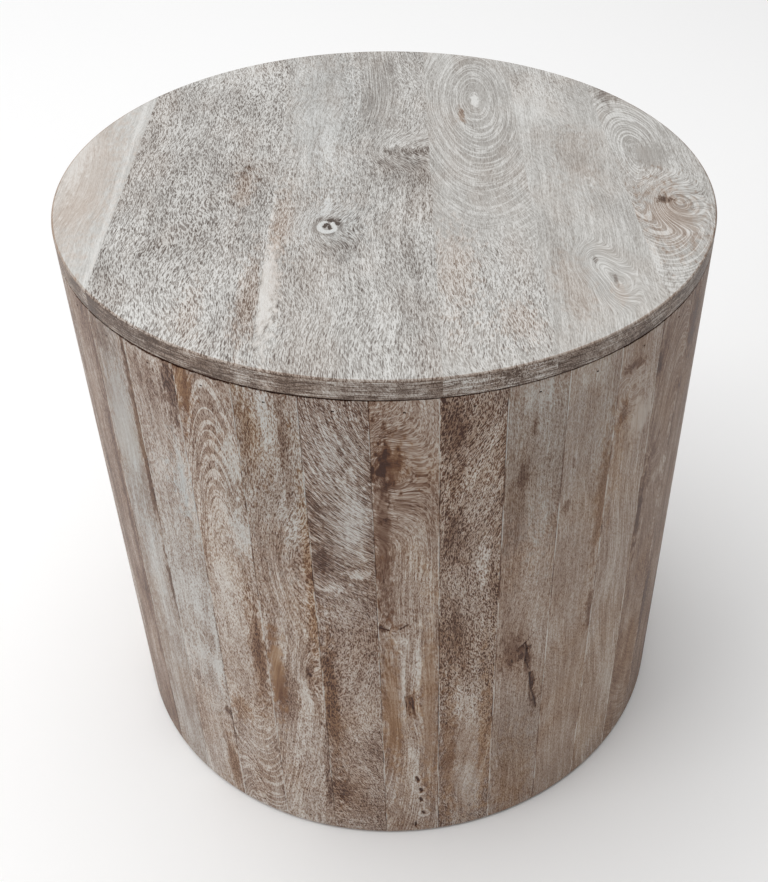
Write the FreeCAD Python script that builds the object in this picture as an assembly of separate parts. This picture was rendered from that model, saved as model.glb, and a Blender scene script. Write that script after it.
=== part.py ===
import FreeCAD, Part
import math
import os

# Round drum side table in whitewashed hardwood, in millimetres.
# Z is up. The origin is on the floor under the middle of the table, and the front looks along -Y.
# Upright staves with bevelled, glued edges make the wall. They are turned round outside, and a
# rebate turned inside each end seats a ring. Each ring is glued up from straight boards, half-lapped
# into each other, with straight inner edges and its outer edge turned round. Brads hold every stave
# to both rings. Six edge-glued boards, two of them tapered, make the top, and screws through the
# upper ring hold it down.

V = FreeCAD.Vector
UP = V(0, 0, 1)

# Whole table
table_diameter = 508.0
table_height = 508.0
cut_overrun = 5.0

# Round top
top_thickness = 16.0
top_edge_chamfer = 1.2
top_underside_chamfer = 0.8

# Glue lines of the top: where each crosses the middle, and its lean to the right towards the back
glue_line_x_shares = [-0.8, -0.35, 0.127, 0.425, 0.724]
glue_line_leans = [1.1, 0.0, 0.0, 0.2, -2.0]

# Wall of staves
stave_count = 35
stave_thickness = 20.0
first_joint_angle = 6.9
rebate_depth = 4.0
glue_gap = 0.1

# Two rings of half-lapped boards, whose ends lie at joints of the staves, counted from the first
staves_per_ring_board = 5
ring_board_width = 60.0
ring_thickness = 22.0
upper_ring_first_joint = 2
lower_ring_first_joint = 0

# Brads of flat wire, set a little below the surface
brad_length = 25.0
brad_width = 1.6
brad_height = 1.2
brad_set_depth = 1.5
brad_hole_clearance = 0.1
brad_from_end = 9.8

# Wood screws from the upper ring into the boards; round wire is drawn with a few flat sides
wire_sides = 7
screw_length = 32.0
screw_diameter = 4.0
screw_head_diameter = 8.0
screw_point_length = 4.0
screw_hole_clearance = 0.3
screw_pilot_clearance = 0.05

# Nail-on glides under the lower ring
glide_diameter = 22.0
glide_height = 3.0
glide_sides = 14
glide_edge_chamfer = 0.8
glide_recess_diameter = 9.0
glide_recess_depth = 1.6
glide_nail_head_diameter = 6.5
glide_nail_head_thickness = 0.8
glide_nail_diameter = 2.0
glide_nail_length = 16.0
glide_nail_point_length = 2.5
glide_nail_clearance = 0.05

# Places worked out from the sizes above
table_radius = table_diameter / 2
foot_z = glide_height
top_underside_z = table_height - top_thickness
stave_pitch = 360.0 / stave_count
first_stave_angle = first_joint_angle + stave_pitch / 2
ring_board_count = stave_count // staves_per_ring_board
ring_pitch = 360.0 / ring_board_count
lap_angle = stave_pitch
rebate_radius = table_radius - stave_thickness + rebate_depth
ring_outer_radius = rebate_radius - glue_gap
ring_flat_radius = ring_outer_radius - ring_board_width
upper_ring_z = top_underside_z - ring_thickness
lower_ring_z = foot_z
upper_brad_z = top_underside_z - brad_from_end
lower_brad_z = foot_z + brad_from_end
brad_head_radius = table_radius - brad_set_depth
brad_tip_radius = brad_head_radius - brad_length
outer_glue_line = max(abs(share) for share in glue_line_x_shares) * table_radius
fastener_radius = (outer_glue_line + brad_tip_radius) / 2


def turned(outline):
    """A solid turned about the table's axis from an outline of (radius, height) points."""
    corners = [V(radius, 0, height) for radius, height in outline]
    return Part.Face(Part.makePolygon(corners + corners[:1])).revolve(V(0, 0, 0), UP, 360)


def many_sided(outline, sides):
    """A solid with flat sides: levels of (radius, height) from the bottom up, a corner to the front.

    Each radius is that of the circle inside the flats, and a last radius of zero makes a point.
    """
    corner_share = 1 / math.cos(math.pi / sides)
    rings = []
    for radius, height in outline:
        rings.append([
            V(
                radius * corner_share * math.sin(2 * math.pi * side / sides),
                -radius * corner_share * math.cos(2 * math.pi * side / sides),
                height,
            )
            for side in range(sides)
        ])
    faces = []
    for lower, upper in zip(rings, rings[1:]):
        for side in range(sides):
            after = (side + 1) % sides
            corners = [lower[side], lower[after], upper[after], upper[side]]
            if upper[side].isEqual(upper[after], 0):
                corners.pop()
            faces.append(Part.Face(Part.makePolygon(corners + corners[:1])))
    for ring in (rings[0], rings[-1]):
        if not ring[0].isEqual(ring[1], 0):
            faces.append(Part.Face(Part.makePolygon(ring + ring[:1])))
    return Part.Solid(Part.Shell(faces))


def at_angle(shape, angle):
    """A copy of a shape that was made towards the front, turned about the table's axis."""
    copy = shape.copy()
    copy.rotate(V(0, 0, 0), UP, angle)
    return copy


def around(shape, first_angle, count):
    """Copies of a shape made at the front, spaced evenly round the table's axis."""
    return [at_angle(shape, first_angle + number * 360.0 / count) for number in range(count)]


def wedge(radius, low_z, high_z, start_angle, end_angle):
    """An upright wedge from the axis outwards, which reaches past the radius between two angles."""
    reach = radius / math.cos(math.radians(end_angle - start_angle) / 2) + cut_overrun
    corners = [V(0, 0, low_z)]
    for angle in (start_angle, end_angle):
        turn = math.radians(angle)
        corners.append(V(reach * math.sin(turn), -reach * math.cos(turn), low_z))
    face = Part.Face(Part.makePolygon(corners + corners[:1]))
    return face.extrude(V(0, 0, high_z - low_z))


def write(shape, name):
    shape.exportStep("parts/" + name + ".step")


# Staves

def stave_wall():
    """The turned outside of the glued-up wall, less the rebates turned inside its two ends."""
    outside = Part.makeCylinder(table_radius, top_underside_z - foot_z, V(0, 0, foot_z))
    seat = ring_thickness + cut_overrun
    lower_rebate = Part.makeCylinder(rebate_radius, seat, V(0, 0, foot_z - cut_overrun))
    upper_rebate = Part.makeCylinder(rebate_radius, seat, V(0, 0, upper_ring_z))
    return outside.cut(lower_rebate).cut(upper_rebate)


def stave_blank():
    """A sawn stave with bevelled edges and a flat inner face, facing the front."""
    half_pitch = stave_pitch / 2
    sawn = wedge(table_radius, foot_z, top_underside_z, -half_pitch, half_pitch)
    inner_face = table_radius - stave_thickness
    half_width = inner_face * math.tan(math.radians(half_pitch)) + cut_overrun
    hollow = Part.makeBox(
        2 * half_width, inner_face, top_underside_z - foot_z, V(-half_width, -inner_face, foot_z)
    )
    return sawn.cut(hollow)


def brad(height, clearance, reach):
    """A brad driven in at the front, or with a clearance the slot for it, open to its reach."""
    width = brad_width + 2 * clearance
    depth = brad_height + 2 * clearance
    corner = V(-width / 2, -brad_head_radius - reach, height - depth / 2)
    return Part.makeBox(width, reach + brad_length + clearance, depth, corner)


def brad_slot(height):
    return brad(height, brad_hole_clearance, brad_set_depth + cut_overrun)


def staves():
    stave = stave_blank().common(stave_wall())
    for height in (upper_brad_z, lower_brad_z):
        stave = stave.cut(brad_slot(height))
    for number, placed in enumerate(around(stave, first_stave_angle, stave_count)):
        write(placed, "stave_%02d" % (number + 1))


# Rings

def first_angle(first_joint):
    """The angle at which the lower half of a ring's first board starts."""
    return first_joint_angle + first_joint * stave_pitch


def ring_board(low_z, start_angle):
    """A board in two halves: the upper one is shifted by a lap and runs over the next board."""
    middle_z = low_z + ring_thickness / 2
    high_z = low_z + ring_thickness
    end_angle = start_angle + ring_pitch
    lower_half = wedge(ring_outer_radius, low_z, middle_z, start_angle, end_angle)
    upper_half = wedge(
        ring_outer_radius, middle_z, high_z, start_angle + lap_angle, end_angle + lap_angle
    )
    turned_edge = Part.makeCylinder(ring_outer_radius, ring_thickness, V(0, 0, low_z))
    opening = many_sided(
        [(ring_flat_radius, low_z - cut_overrun), (ring_flat_radius, high_z + cut_overrun)],
        ring_board_count,
    )
    band = turned_edge.cut(at_angle(opening, start_angle + lap_angle / 2))
    return lower_half.fuse(upper_half).common(band).removeSplitter()


def ring(name, low_z, first_joint, brad_z, holes):
    """A whole ring, board by board, with the brad slots and its other holes cut."""
    slots = around(brad_slot(brad_z), first_stave_angle, stave_count)
    boards = around(ring_board(low_z, first_angle(first_joint)), 0, ring_board_count)
    for number, board in enumerate(boards):
        write(board.cut(slots + holes), "%s_%d" % (name, number + 1))


def brads(name, height):
    row = around(brad(height, 0, 0), first_stave_angle, stave_count)
    write(Part.makeCompound(row), name)


# Top boards and their screws

def glue_lines():
    """Where the edges of the boards cross the middle of the top, and how they lean, left to right."""
    places = [share * table_radius for share in glue_line_x_shares]
    return [(-table_radius, 0.0)] + list(zip(places, glue_line_leans)) + [(table_radius, 0.0)]


def screw_places():
    """Two screws per board, each at the middle of the arc that the board covers over the ring."""
    radius = fastener_radius
    lines = glue_lines()
    places = []
    for (left, _), (right, _) in zip(lines, lines[1:]):
        start = math.acos(max(-1.0, left / radius))
        end = math.acos(min(1.0, right / radius))
        middle = (start + end) / 2
        for side in (1, -1):
            places.append(V(radius * math.cos(middle), side * radius * math.sin(middle), 0))
    return places


def screw_like(clearance):
    """A countersunk screw pointing up from the upper ring's underside, or with a clearance its hole."""
    shank = screw_diameter / 2 + clearance
    head = screw_head_diameter / 2 + clearance
    tip_z = upper_ring_z + screw_length + clearance
    return many_sided([
        (head, upper_ring_z),
        (shank, upper_ring_z + head - shank),
        (shank, tip_z - screw_point_length),
        (0, tip_z),
    ], wire_sides)


def screws_at(screw):
    return [screw.translated(place) for place in screw_places()]


def round_top():
    """The glued-up top, turned round, with its two outer edges eased."""
    return turned([
        (0, top_underside_z),
        (table_radius - top_underside_chamfer, top_underside_z),
        (table_radius, top_underside_z + top_underside_chamfer),
        (table_radius, table_height - top_edge_chamfer),
        (table_radius - top_edge_chamfer, table_height),
        (0, table_height),
    ])


def slab(left_line, right_line):
    """A thick, long board between two glue lines, out of which the round top takes its share."""
    reach = table_radius + cut_overrun
    corners = []
    for (x, lean), y in (
        (left_line, -reach), (right_line, -reach), (right_line, reach), (left_line, reach)
    ):
        shift = y * math.tan(math.radians(lean))
        corners.append(V(x + shift, y, top_underside_z - cut_overrun))
    face = Part.Face(Part.makePolygon(corners + corners[:1]))
    return face.extrude(V(0, 0, top_thickness + 2 * cut_overrun))


def top_boards():
    disc = round_top()
    pilots = screws_at(screw_like(screw_pilot_clearance))
    lines = glue_lines()
    lines[0] = (-table_radius - cut_overrun, 0.0)
    lines[-1] = (table_radius + cut_overrun, 0.0)
    for number, (left_line, right_line) in enumerate(zip(lines, lines[1:])):
        board = disc.common(slab(left_line, right_line)).cut(pilots)
        write(board, "top_board_%d" % (number + 1))


# Glides and their nails

def under_ring(shape):
    """A copy of a shape made on the axis, moved out under the middle of each lower ring board."""
    moved = shape.translated(V(0, -fastener_radius, 0))
    board_middle = first_angle(lower_ring_first_joint) + (ring_pitch + lap_angle) / 2
    return around(moved, board_middle, ring_board_count)


def glide():
    """A plastic disc with an eased foot edge, less the recess and bore for its nail."""
    outer = glide_diameter / 2
    disc = many_sided([
        (outer - glide_edge_chamfer, 0),
        (outer, glide_edge_chamfer),
        (outer, glide_height),
    ], glide_sides)
    recess = glide_recess_diameter / 2
    bore = glide_nail_diameter / 2 + glide_nail_clearance
    return disc.cut(many_sided([
        (recess, -cut_overrun),
        (recess, glide_recess_depth),
        (bore, glide_recess_depth),
        (bore, glide_height + cut_overrun),
    ], wire_sides))


def glide_nail(clearance):
    """A flat-headed nail that bears on the bottom of the glide's recess, or the hole for it."""
    head = glide_nail_head_diameter / 2 + clearance
    shank = glide_nail_diameter / 2 + clearance
    tip_z = glide_recess_depth + glide_nail_length + clearance
    return many_sided([
        (head, glide_recess_depth - glide_nail_head_thickness),
        (head, glide_recess_depth),
        (shank, glide_recess_depth),
        (shank, tip_z - glide_nail_point_length),
        (0, tip_z),
    ], wire_sides)


os.makedirs("parts", exist_ok=True)
staves()
screw_holes = screws_at(screw_like(screw_hole_clearance))
nail_holes = under_ring(glide_nail(glide_nail_clearance))
ring("upper_ring", upper_ring_z, upper_ring_first_joint, upper_brad_z, screw_holes)
ring("lower_ring", lower_ring_z, lower_ring_first_joint, lower_brad_z, nail_holes)
brads("upper_brads", upper_brad_z)
brads("lower_brads", lower_brad_z)
top_boards()
write(Part.makeCompound(screws_at(screw_like(0))), "top_screws")
write(Part.makeCompound(under_ring(glide())), "glides")
write(Part.makeCompound(under_ring(glide_nail(0))), "glide_nails")
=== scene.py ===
import math
import random
from types import SimpleNamespace

import bmesh
import bpy
from mathutils import Matrix, Vector


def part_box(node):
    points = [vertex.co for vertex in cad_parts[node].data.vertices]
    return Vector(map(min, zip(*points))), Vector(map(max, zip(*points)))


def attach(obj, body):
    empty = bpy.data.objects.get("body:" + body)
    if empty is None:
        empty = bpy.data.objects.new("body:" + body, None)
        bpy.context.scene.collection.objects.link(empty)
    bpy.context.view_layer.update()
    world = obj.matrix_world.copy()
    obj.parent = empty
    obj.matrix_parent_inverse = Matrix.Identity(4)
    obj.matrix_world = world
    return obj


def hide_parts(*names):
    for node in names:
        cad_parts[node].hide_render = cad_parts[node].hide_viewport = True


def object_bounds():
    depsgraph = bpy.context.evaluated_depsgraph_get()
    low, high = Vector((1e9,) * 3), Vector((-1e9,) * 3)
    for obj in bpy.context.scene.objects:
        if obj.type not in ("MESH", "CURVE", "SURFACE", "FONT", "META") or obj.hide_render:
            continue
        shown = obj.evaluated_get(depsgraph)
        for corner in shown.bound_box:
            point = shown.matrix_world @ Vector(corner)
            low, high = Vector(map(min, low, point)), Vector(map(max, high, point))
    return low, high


# A round drum side table of whitewashed hardwood. Its staves and top boards are washed outside, and
# the wood inside and underneath is raw. Sizes are in metres, angles in degrees unless they say
# radians, and marks, cracks and rim gaps in mm.
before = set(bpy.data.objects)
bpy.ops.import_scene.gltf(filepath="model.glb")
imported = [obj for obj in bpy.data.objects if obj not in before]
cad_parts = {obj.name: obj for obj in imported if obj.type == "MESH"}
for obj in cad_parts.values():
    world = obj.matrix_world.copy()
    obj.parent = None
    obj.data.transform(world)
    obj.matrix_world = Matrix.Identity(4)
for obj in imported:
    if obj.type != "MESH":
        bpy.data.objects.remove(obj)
cad_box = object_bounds()

# The camera stands in front of the table and looks down on it at about 40 degrees. The picture is
# a crop of a wider one, so the lens looks past the table's axis and a shift brings it back. These
# angles are in radians.
picture_size = (768, 882)
sensor_side = 36.0
lens_pixels = 1202.3
optical_centre = (481.1, 427.2)
camera_elevation = 0.6986
camera_distance = 1.10370
camera_pan = 0.07062
camera_roll = 0.025753
camera_turn = math.radians(0.5)
body_middle = Vector((0, 0, 0.2555))

backward = Vector((0, -math.cos(camera_elevation), math.sin(camera_elevation)))
level_right = Vector((1, 0, 0))
level_up = backward.cross(level_right)
panned_back = backward * math.cos(camera_pan) - level_right * math.sin(camera_pan)
panned_right = level_right * math.cos(camera_pan) + backward * math.sin(camera_pan)
rolled_right = panned_right * math.cos(camera_roll) - level_up * math.sin(camera_roll)
rolled_up = panned_right * math.sin(camera_roll) + level_up * math.cos(camera_roll)
axes = Matrix((rolled_right, rolled_up, panned_back)).transposed().to_4x4()
place = Matrix.Translation(body_middle + backward * camera_distance)
camera = bpy.data.objects.new("camera", bpy.data.cameras.new("camera"))
camera.matrix_world = Matrix.Rotation(camera_turn, 4, "Z") @ place @ axes
camera.data.sensor_fit = "VERTICAL"
camera.data.sensor_height = sensor_side
camera.data.lens = lens_pixels / picture_size[1] * sensor_side
camera.data.shift_x = (picture_size[0] / 2 - optical_centre[0]) / picture_size[1]
camera.data.shift_y = (optical_centre[1] - picture_size[1] / 2) / picture_size[1]
bpy.context.scene.collection.objects.link(camera)
bpy.context.scene.camera = camera

# The room is a plain pale floor under soft studio light: one large lamp above and a little behind,
# a weaker one low on the left, and an even pale surround.
floor_half_width = 6.0
floor_tone = (0.97, 0.97, 0.97, 1)
floor_roughness = 0.9
surround_tone = (1, 1, 1, 1)
surround_strength = 0.3

floor_mesh = bmesh.new()
bmesh.ops.create_grid(floor_mesh, x_segments=1, y_segments=1, size=floor_half_width)
floor = bpy.data.objects.new("floor", bpy.data.meshes.new("floor"))
floor_mesh.to_mesh(floor.data)
floor_mesh.free()
bpy.context.scene.collection.objects.link(floor)
floor_paint = bpy.data.materials.new("pale_floor")
floor_paint.use_nodes = True
floor_shader = floor_paint.node_tree.nodes["Principled BSDF"]
floor_shader.inputs["Base Color"].default_value = floor_tone
floor_shader.inputs["Roughness"].default_value = floor_roughness
floor.data.materials.append(floor_paint)


def soft_lamp(name, place, aim, width, power):
    """A square lamp that shines from a place towards an aim."""
    lamp = bpy.data.objects.new(name, bpy.data.lights.new(name, "AREA"))
    lamp.data.size = width
    lamp.data.energy = power
    lamp.location = place
    lamp.rotation_euler = (Vector(aim) - Vector(place)).to_track_quat("-Z", "Y").to_euler()
    bpy.context.scene.collection.objects.link(lamp)


soft_lamp("lamp_above", place=(-1.2, 0.4, 5.0), aim=(0, 0, 0.4), width=6.0, power=255)
soft_lamp("lamp_left", place=(-5.2, -2.8, 2.6), aim=(0, 0, 0.3), width=3.6, power=82)
surround = bpy.data.worlds.new("surround")
surround.use_nodes = True
surround_light = surround.node_tree.nodes["Background"]
surround_light.inputs["Color"].default_value = surround_tone
surround_light.inputs["Strength"].default_value = surround_strength
bpy.context.scene.world = surround
bpy.context.scene.view_settings.view_transform = "Standard"

# Two inner rings hold the drum round. Each is seven straight-edged boards of raw sanded hardwood,
# half-lapped and glued over one another, five staves long, and turned round outside.
table_radius = (cad_box[1].x - cad_box[0].x) / 2
stave_count = 35
first_joint_angle = 6.9
stave_pitch = 360.0 / stave_count
ring_thickness = 0.022
ring_board_count = 7
staves_per_ring_board = 5
ring_first_joints = {"upper_ring": 2, "lower_ring": 0}


def ring_board_turn(first_joint, number):
    """The angle from the front to the middle of a ring's board, counted from the ring's first joint."""
    middle_joint = first_joint + number * staves_per_ring_board + (staves_per_ring_board + 1) / 2
    return math.radians(first_joint_angle + middle_joint * stave_pitch)


def srgb(red, green, blue):
    """A paint colour given as it looks, out of 255, as the linear colour that shaders take."""
    shares = [value / 255 for value in (red, green, blue)]
    return tuple(s / 12.92 if s < 0.04045 else ((s + 0.055) / 1.055) ** 2.4 for s in shares) + (1,)


raw_tones = (
    srgb(112, 78, 50), srgb(152, 113, 77), srgb(178, 140, 101), srgb(197, 163, 124), srgb(208, 178, 142),
)
sanded_ring_lines = 0.2
wood_relief = 0.0002
wood_gloss = 0.3


class Field:
    """A number that changes over a surface. Sums and products of fields become Math nodes."""

    def __init__(self, tree, socket):
        self.tree = tree
        self.socket = socket

    def math(self, operation, *others):
        """What a Math node makes of this field and of other fields or plain numbers."""
        node = self.tree.nodes.new("ShaderNodeMath")
        node.operation = operation
        for slot, value in zip(node.inputs, (self,) + others):
            plug(self.tree, value, slot)
        return Field(self.tree, node.outputs[0])

    def __add__(self, other):
        return self.math("ADD", other)

    def __sub__(self, other):
        return self.math("SUBTRACT", other)

    def __mul__(self, other):
        return self.math("MULTIPLY", other)

    def root(self):
        return self.math("SQRT")

    def step(self, low, high, amount=1.0):
        """Rises smoothly from 0 at low to an amount at high, or falls where low is above high."""
        node = self.tree.nodes.new("ShaderNodeMapRange")
        node.interpolation_type = "SMOOTHSTEP"
        plug(self.tree, self, node.inputs["Value"])
        rising = low < high
        node.inputs["From Min"].default_value = low if rising else high
        node.inputs["From Max"].default_value = high if rising else low
        node.inputs["To Min"].default_value = 0 if rising else amount
        node.inputs["To Max"].default_value = amount if rising else 0
        return Field(self.tree, node.outputs[0])


def plug(tree, value, slot):
    """Links a field to a socket, or sets the socket to a plain number or colour."""
    if isinstance(value, Field):
        tree.links.new(value.socket, slot)
    else:
        slot.default_value = value


def noise(tree, place, detail=2, roughness=0.6):
    """Soft random grain from 0 to 1, its features about one unit of the place wide.

    A place is three fields in metres, so a factor in it is the number of features to the metre.
    """
    vector = tree.nodes.new("ShaderNodeCombineXYZ")
    for value, slot in zip(place, vector.inputs):
        plug(tree, value, slot)
    node = tree.nodes.new("ShaderNodeTexNoise")
    tree.links.new(vector.outputs[0], node.inputs["Vector"])
    node.inputs["Scale"].default_value = 1
    node.inputs["Detail"].default_value = detail
    node.inputs["Roughness"].default_value = roughness
    return Field(tree, node.outputs["Fac"])


def mixed(tree, share, first, second, blend="MIX"):
    """A colour between two colours, or the first one stained with the second."""
    node = tree.nodes.new("ShaderNodeMix")
    node.data_type = "RGBA"
    node.blend_type = blend
    plug(tree, share, node.inputs["Factor"])
    plug(tree, first, node.inputs["A"])
    plug(tree, second, node.inputs["B"])
    return Field(tree, node.outputs["Result"])


def toned(tree, share, tones):
    """A colour from a row of tones, dark to pale, spread evenly from 0 to 1."""
    ramp = tree.nodes.new("ShaderNodeValToRGB")
    stops = ramp.color_ramp.elements
    while len(stops) < len(tones):
        stops.new(0.5)
    for number, tone in enumerate(tones):
        stops[number].position = number / (len(tones) - 1)
        stops[number].color = tone
    plug(tree, share, ramp.inputs["Fac"])
    return Field(tree, ramp.outputs["Color"])


def new_finish(name, turn=0):
    """A material, its node tree, and the place on the piece in metres, as three fields, after a turn."""
    material = bpy.data.materials.new(name)
    material.use_nodes = True
    tree = material.node_tree
    coordinates = tree.nodes.new("ShaderNodeTexCoord")
    mapping = tree.nodes.new("ShaderNodeMapping")
    mapping.inputs["Rotation"].default_value = (0, 0, -turn)
    tree.links.new(coordinates.outputs["Object"], mapping.inputs["Vector"])
    apart = tree.nodes.new("ShaderNodeSeparateXYZ")
    tree.links.new(mapping.outputs["Vector"], apart.inputs[0])
    return material, tree, *(Field(tree, output) for output in apart.outputs)


def finished(material, colour, roughness, height, relief):
    """Gives a material its colour, its roughness, and a height that stands up by a relief in metres."""
    tree = material.node_tree
    shader = tree.nodes["Principled BSDF"]
    plug(tree, colour, shader.inputs["Base Color"])
    plug(tree, roughness, shader.inputs["Roughness"])
    bump = tree.nodes.new("ShaderNodeBump")
    bump.inputs["Distance"].default_value = relief
    bump.inputs["Strength"].default_value = 0.5
    plug(tree, height, bump.inputs["Height"])
    tree.links.new(bump.outputs["Normal"], shader.inputs["Normal"])
    return shader


def figured(name, turn, way, log, slant, seed):
    """A board's wood as fields: its place in the board and in the log, and the run of its grain.

    The way says how the board lies: "stave", "top" or "ring". The log gives where its heart line
    meets the face, across and along, how steeply it comes up, and how its growth rings waver.
    """
    material, tree, x, y, z = new_finish(name, turn)
    inwards = ((x * x + y * y).root() - table_radius) * -1
    if way == "stave":
        across, along, depth = x, z, y + table_radius
        skin = inwards
    elif way == "top":
        across, along, depth = x, y, (z - cad_box[1].z) * -1
        skin = depth.math("MINIMUM", inwards)
    else:
        across, along, depth = y, x, z
        skin = None
    heart_across, heart_along, rise, waver = log
    sway = noise(tree, (across * 14 + seed, along * 9 + seed, depth * 14), 1, 0.5) - 0.5
    slow = noise(tree, (across * 8 + seed, along * 3 - seed, depth * 8), 1, 0.5) - 0.5
    side = sway * waver + across - heart_across
    below = (along - heart_along) * rise + depth + slow * waver * 3
    radius = (side * side + below * below).root()
    grain = sway * 0.03 + along * slant + across
    return SimpleNamespace(
        material=material, tree=tree, seed=seed, across=across, along=along, depth=depth, skin=skin,
        inwards=inwards, slow=slow, radius=radius, grain=grain,
    )


def raw_colour(wood, lines):
    """The colour and the paleness of raw wood, from its ring lines, its fibres and its streaks."""
    wood.line = noise(wood.tree, (wood.radius * 560 + wood.seed, wood.along * 8, wood.across * 20), 1, 0.5)
    wood.fibre = noise(wood.tree, (wood.grain * 750 - wood.seed, wood.along * 26, wood.depth * 300))
    streak_place = (wood.grain * 120 + wood.seed, wood.along * 9, wood.depth * 60)
    wood.streak = noise(wood.tree, streak_place, 2, 0.55)
    paleness = (wood.line - 0.5) * lines * 2 + (wood.fibre - 0.5) * 0.5 + (wood.streak - 0.5) * 0.6 + 0.5
    return toned(wood.tree, paleness, raw_tones), paleness


def sanded_wood(name, turn, log, seed):
    """Raw hardwood, sanded and left without a finish."""
    wood = figured(name, turn, "ring", log, 0, seed)
    colour, paleness = raw_colour(wood, sanded_ring_lines)
    shader = finished(wood.material, colour, paleness * 0.2 + 0.5, wood.fibre, wood_relief)
    shader.inputs["Specular IOR Level"].default_value = wood_gloss
    return wood.material


luck = random.Random(11)
for ring, first_joint in ring_first_joints.items():
    for number in range(ring_board_count):
        turn = ring_board_turn(first_joint, number)
        name = "%s_%d" % (ring, number + 1)
        log = (-table_radius + luck.uniform(-0.1, 0.1), luck.uniform(-0.9, 0.9), 0.06, 0.01)
        wood = sanded_wood("raw_" + name, turn, log, luck.uniform(0, 90))
        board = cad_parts[name]
        board.data.materials.clear()
        board.data.materials.append(wood)

# The staves are 35 bevelled hardwood boards, glued edge to edge and turned round outside. Every one
# is cut from the log another way, so each has its own figure, knots, wash and stains.
stave_low, stave_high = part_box("stave_01")
foot_z, stave_top_z = stave_low.z, stave_high.z
stave_thickness = 0.020
rebate_depth = 0.004
brad_from_end = 0.0098
arc_steps = 11
joint_ease = 0.00035
rim_gap_depth = 0.0016
rim_gap_floor_share = 0.8
brad_pocket_height = 0.0013
brad_pocket_border = 0.0011
brad_pocket_depth = 0.0016
carving_step = 0.0009
carving_reach = 2.5
near_pocket = 0.001
hairbreadth = 1e-5
smooth_angle = math.radians(35)
washed_into = 0.0014
raw_below = 0.0022
# The depths below the turned face where painted shade in cracks, rim gaps and brad pockets starts and is
# full.
sunk_shade_start, sunk_shade_full = 0.0003, 0.001
joint_start, joint_full = 0.0218, 0.0226
cool_tone = srgb(229, 236, 241)


def new_piece(name, mesh, replaced, material):
    """A finished piece at the origin, smooth where it is round, that stands for a CAD node."""
    data = bpy.data.meshes.new(name)
    mesh.to_mesh(data)
    mesh.free()
    data.materials.append(material)
    for face in data.polygons:
        face.use_smooth = True
    data.set_sharp_from_angle(angle=smooth_angle)
    piece = bpy.data.objects.new(name, data)
    bpy.context.scene.collection.objects.link(piece)
    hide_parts(replaced)
    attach(piece, "root")


def eased(mesh, edges, width, steps=1):
    """Takes edges off, flat or rounded in steps."""
    bmesh.ops.bevel(
        mesh, geom=edges, offset=width, offset_type="OFFSET", segments=steps, profile=0.5,
        affect="EDGES", material=-1, clamp_overlap=True,
    )


def carved(mesh, face_axis, strokes):
    """Sinks strokes, as in stave_cracks, into the face turned to an axis, cut up finely there first."""
    sideways = Vector((1, 0, 0))
    upright = Vector((0, 1, 0)) if face_axis.z else Vector((0, 0, 1))
    margin = carving_reach * max(half_width for *ends, half_width, depth in strokes) / 1000
    faces = [face for face in mesh.faces if face.normal.dot(face_axis) > 0.9]
    for axis, picks in ((sideways, (0, 2)), (upright, (1, 3))):
        values = [stroke[pick] / 1000 for stroke in strokes for pick in picks]
        low, high = min(values) - margin, max(values) + margin
        geom = list(dict.fromkeys(part for face in faces for part in (face, *face.edges, *face.verts)))
        for number in range(int((high - low) / carving_step) + 2):
            geom = bmesh.ops.bisect_plane(
                mesh, geom=geom, plane_co=axis * (low + number * carving_step), plane_no=axis, dist=1e-7,
            )["geom"]
        faces = [
            part for part in geom
            if isinstance(part, bmesh.types.BMFace) and low < part.calc_center_median().dot(axis) < high
        ]
    for vert in dict.fromkeys(vert for face in faces for vert in face.verts):
        spot, sunk = Vector((vert.co.dot(sideways), vert.co.dot(upright))), 0
        for u0, v0, u1, v1, half_width, depth in strokes:
            start, end = Vector((u0, v0)) / 1000, Vector((u1, v1)) / 1000
            share = (spot - start).dot(end - start) / max((end - start).length_squared, 1e-12)
            gap = (spot - start.lerp(end, min(1, max(0, share)))).length
            sunk += depth / 1000 * math.exp(-((gap / half_width * 1000) ** 2))
        vert.co -= face_axis * sunk


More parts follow.
